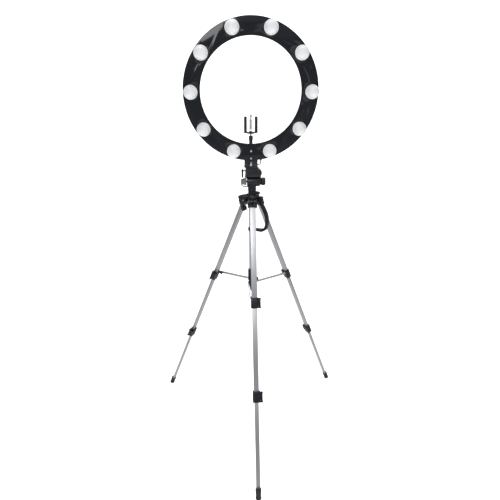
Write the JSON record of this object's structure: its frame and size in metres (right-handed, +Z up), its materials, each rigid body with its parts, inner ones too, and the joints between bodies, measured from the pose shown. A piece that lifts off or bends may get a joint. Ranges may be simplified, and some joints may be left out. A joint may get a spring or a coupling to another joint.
{
  "type": "ring light",
  "caption": "Ring light: a flat gloss ring of opal lamps with a phone clip, on a pan and tilt head and a telescopic tripod.",
  "frame": {"origin": "on the floor, at the middle of the feet's bounding box; the column's axis is 0.147 m behind it", "axes": "+Z up; -Y is the lit side and the side of the front leg; +X is to the right as seen from the lit side"},
  "size_m": [1.0464, 0.91, 2.096],
  "materials": {
    "gloss_black": "high-gloss black sheet",
    "board_black": "black fibreboard",
    "diffuser": "satin opal",
    "bulb_white": "white moulded",
    "holder": "black phenolic",
    "wire": "black PVC",
    "steel_black": "black powder coat",
    "screw": "bright nickel",
    "plastic_black": "fine moulded texture",
    "grey": "grey moulded",
    "alu": "anodised silver",
    "pad": "soft black rubber",
    "clip_silver": "satin",
    "strap": "hook and loop"
  },
  "bodies": {
    "tripod_base": {"apex": "plastic_black", "sleeve": "alu", "hinge_pins": "screw", "carry_handle": "plastic_black", "end_cap": "plastic_black"},
    "front_leg": {"front_leg_castings": "plastic_black", "front_upper_tube": "alu"},
    "front_upper_lever": {"front_upper_lever": "plastic_black"},
    "front_leg_middle": {"front_middle_tube": "alu", "front_lower_lock": "plastic_black"},
    "front_lower_lever": {"front_lower_lever": "plastic_black"},
    "front_leg_lower": {"front_lower_tube": "alu", "front_foot": "pad"},
    "front_brace": {"front_brace": "alu"},
    "left_leg": {"left_leg_castings": "plastic_black", "left_upper_tube": "alu"},
    "left_upper_lever": {"left_upper_lever": "plastic_black"},
    "left_leg_middle": {"left_middle_tube": "alu", "left_lower_lock": "plastic_black"},
    "left_lower_lever": {"left_lower_lever": "plastic_black"},
    "left_leg_lower": {"left_lower_tube": "alu", "left_foot": "pad"},
    "left_brace": {"left_brace": "alu"},
    "right_leg": {"right_leg_castings": "plastic_black", "right_upper_tube": "alu"},
    "right_upper_lever": {"right_upper_lever": "plastic_black"},
    "right_leg_middle": {"right_middle_tube": "alu", "right_lower_lock": "plastic_black"},
    "right_lower_lever": {"right_lower_lever": "plastic_black"},
    "right_leg_lower": {"right_lower_tube": "alu", "right_foot": "pad"},
    "right_brace": {"right_brace": "alu"},
    "spreader_hub": {"hub": "plastic_black"},
    "column": {"centre_column": "alu"},
    "crank": {"crank": "plastic_black"},
    "column_lock": {"column_lock": "plastic_black"},
    "pan_base": {"pan_yoke": "plastic_black", "tilt_cap": "grey"},
    "tilt_head": {"tilt_cradle": "plastic_black", "camera_platform": "plastic_black", "ring_bracket": "steel_black", "ring_board": "board_black", "ring_front_panel": "gloss_black", "bulb_diffusers": "diffuser", "bulb_bodies": "bulb_white", "lampholders": "holder", "wiring": "wire", "junction_box": "plastic_black", "ring_screws": "screw", "phone_stem": "plastic_black", "power_lead": "wire", "power_coil": "wire", "cord_tie": "strap", "plug": "wire"},
    "tilt_knob": {"tilt_knob": "plastic_black"},
    "platform_lever": {"platform_lever": "plastic_black"},
    "pan_handle": {"pan_handle": "plastic_black"},
    "phone_collar": {"phone_collar": "plastic_black"},
    "phone_clip": {"phone_clip": "plastic_black"},
    "clip_hook": {"clip_hook": "clip_silver"}
  },
  "joints": [
    {"name": "front_leg_fold", "type": "hinge", "parent": "tripod_base", "child": "front_leg", "pos_m": [0, 0.1085, 1.296], "axis": [1, 0, 0], "range_deg": [0, 21]},
    {"name": "front_upper_lever_flip", "type": "hinge", "parent": "front_leg", "child": "front_upper_lever", "pos_m": [0.0245, -0.08872, 0.85391], "axis": [0, -0.3904, -0.9207], "range_deg": [0, 100]},
    {"name": "front_lower_lever_flip", "type": "hinge", "parent": "front_leg_middle", "child": "front_lower_lever", "pos_m": [0.0245, -0.26243, 0.44422], "axis": [0, -0.3904, -0.9207], "range_deg": [0, 100]},
    {"name": "front_middle_slide", "type": "slide", "parent": "front_leg", "child": "front_leg_middle", "axis": [0, 0.3904, 0.9207], "range_m": [0, 0.34]},
    {"name": "front_lower_slide", "type": "slide", "parent": "front_leg_middle", "child": "front_leg_lower", "axis": [0, 0.3904, 0.9207], "range_m": [0, 0.39]},
    {"name": "front_brace_swing", "type": "hinge", "parent": "spreader_hub", "child": "front_brace", "pos_m": [0, 0.125, 0.86313], "axis": [1, 0, 0], "range_deg": [0, 87.5]},
    {"name": "left_leg_fold", "type": "hinge", "parent": "tripod_base", "child": "left_leg", "pos_m": [-0.03334, 0.16625, 1.296], "axis": [-0.5, -0.866, 0], "range_deg": [0, 21]},
    {"name": "left_upper_lever_flip", "type": "hinge", "parent": "left_leg", "child": "left_upper_lever", "pos_m": [-0.21639, 0.24364, 0.85391], "axis": [-0.3381, 0.1952, -0.9207], "range_deg": [0, 100]},
    {"name": "left_lower_lever_flip", "type": "hinge", "parent": "left_leg_middle", "child": "left_lower_lever", "pos_m": [-0.36683, 0.3305, 0.44422], "axis": [-0.3381, 0.1952, -0.9207], "range_deg": [0, 100]},
    {"name": "left_middle_slide", "type": "slide", "parent": "left_leg", "child": "left_leg_middle", "axis": [0.3381, -0.1952, 0.9207], "range_m": [0, 0.34]},
    {"name": "left_lower_slide", "type": "slide", "parent": "left_leg_middle", "child": "left_leg_lower", "axis": [0.3381, -0.1952, 0.9207], "range_m": [0, 0.39]},
    {"name": "left_brace_swing", "type": "hinge", "parent": "spreader_hub", "child": "left_brace", "pos_m": [-0.01905, 0.158, 0.86313], "axis": [-0.5, -0.866, 0], "range_deg": [0, 87.5]},
    {"name": "right_leg_fold", "type": "hinge", "parent": "tripod_base", "child": "right_leg", "pos_m": [0.03334, 0.16625, 1.296], "axis": [-0.5, 0.866, 0], "range_deg": [0, 21]},
    {"name": "right_upper_lever_flip", "type": "hinge", "parent": "right_leg", "child": "right_upper_lever", "pos_m": [0.19189, 0.28608, 0.85391], "axis": [0.3381, 0.1952, -0.9207], "range_deg": [0, 100]},
    {"name": "right_lower_lever_flip", "type": "hinge", "parent": "right_leg_middle", "child": "right_lower_lever", "pos_m": [0.34233, 0.37293, 0.44422], "axis": [0.3381, 0.1952, -0.9207], "range_deg": [0, 100]},
    {"name": "right_middle_slide", "type": "slide", "parent": "right_leg", "child": "right_leg_middle", "axis": [-0.3381, -0.1952, 0.9207], "range_m": [0, 0.34]},
    {"name": "right_lower_slide", "type": "slide", "parent": "right_leg_middle", "child": "right_leg_lower", "axis": [-0.3381, -0.1952, 0.9207], "range_m": [0, 0.39]},
    {"name": "right_brace_swing", "type": "hinge", "parent": "spreader_hub", "child": "right_brace", "pos_m": [0.01905, 0.158, 0.86313], "axis": [-0.5, 0.866, 0], "range_deg": [0, 87.5]},
    {"name": "hub_slide", "type": "slide", "parent": "tripod_base", "child": "spreader_hub", "axis": [0, 0, 1], "range_m": [0, 0.1465]},
    {"name": "column_lift", "type": "slide", "parent": "tripod_base", "child": "column", "axis": [0, 0, 1], "range_m": [0, 0.3]},
    {"name": "crank_turn", "type": "hinge", "parent": "tripod_base", "child": "crank", "pos_m": [-0.05629, 0.1145, 1.32], "axis": [-0.866, -0.5, 0], "range_deg": [0, 1812]},
    {"name": "column_lock_turn", "type": "hinge", "parent": "tripod_base", "child": "column_lock", "pos_m": [0.01732, 0.137, 1.336], "axis": [0.866, -0.5, 0], "range_deg": [0, 180]},
    {"name": "pan", "type": "hinge", "parent": "column", "child": "pan_base", "pos_m": [0, 0.147, 1.36], "axis": [0, 0, 1], "continuous": true},
    {"name": "tilt", "type": "hinge", "parent": "pan_base", "child": "tilt_head", "pos_m": [0, 0.147, 1.389], "axis": [1, 0, 0], "range_deg": [-12, 60]},
    {"name": "tilt_knob_turn", "type": "hinge", "parent": "pan_base", "child": "tilt_knob", "pos_m": [0.05, 0.147, 1.389], "axis": [1, 0, 0], "range_deg": [0, 180]},
    {"name": "platform_lever_swing", "type": "hinge", "parent": "tilt_head", "child": "platform_lever", "pos_m": [-0.046, 0.147, 1.441], "axis": [-1, 0, 0], "range_deg": [0, 70]},
    {"name": "pan_handle_twist", "type": "hinge", "parent": "tilt_head", "child": "pan_handle", "pos_m": [0, 0.168, 1.43358], "axis": [0, 0.9063, -0.4226], "range_deg": [0, 90]},
    {"name": "phone_swivel", "type": "hinge", "parent": "tilt_head", "child": "phone_collar", "pos_m": [-0.006, 0.138, 1.59], "axis": [0, 0, 1], "continuous": true},
    {"name": "phone_tilt", "type": "hinge", "parent": "phone_collar", "child": "phone_clip", "pos_m": [-0.006, 0.138, 1.597], "axis": [1, 0, 0], "range_deg": [-25, 25]},
    {"name": "clip_hook_pull", "type": "slide", "parent": "phone_clip", "child": "clip_hook", "axis": [0, 0, 1], "range_m": [0, 0.02], "stiffness_N_per_m": 250, "springref_m": -0.01}
  ],
  "couplings": [
    {"joint": "left_leg_fold", "follows": "front_leg_fold", "ratio": 1},
    {"joint": "right_leg_fold", "follows": "front_leg_fold", "ratio": 1},
    {"joint": "hub_slide", "follows": "front_leg_fold", "m_per_rad": 0.39861},
    {"joint": "front_brace_swing", "follows": "front_leg_fold", "ratio": 4.1538},
    {"joint": "left_brace_swing", "follows": "front_leg_fold", "ratio": 4.1538},
    {"joint": "right_brace_swing", "follows": "front_leg_fold", "ratio": 4.1538},
    {"joint": "crank_turn", "follows": "column_lift", "rad_per_m": 105.26}
  ]
}
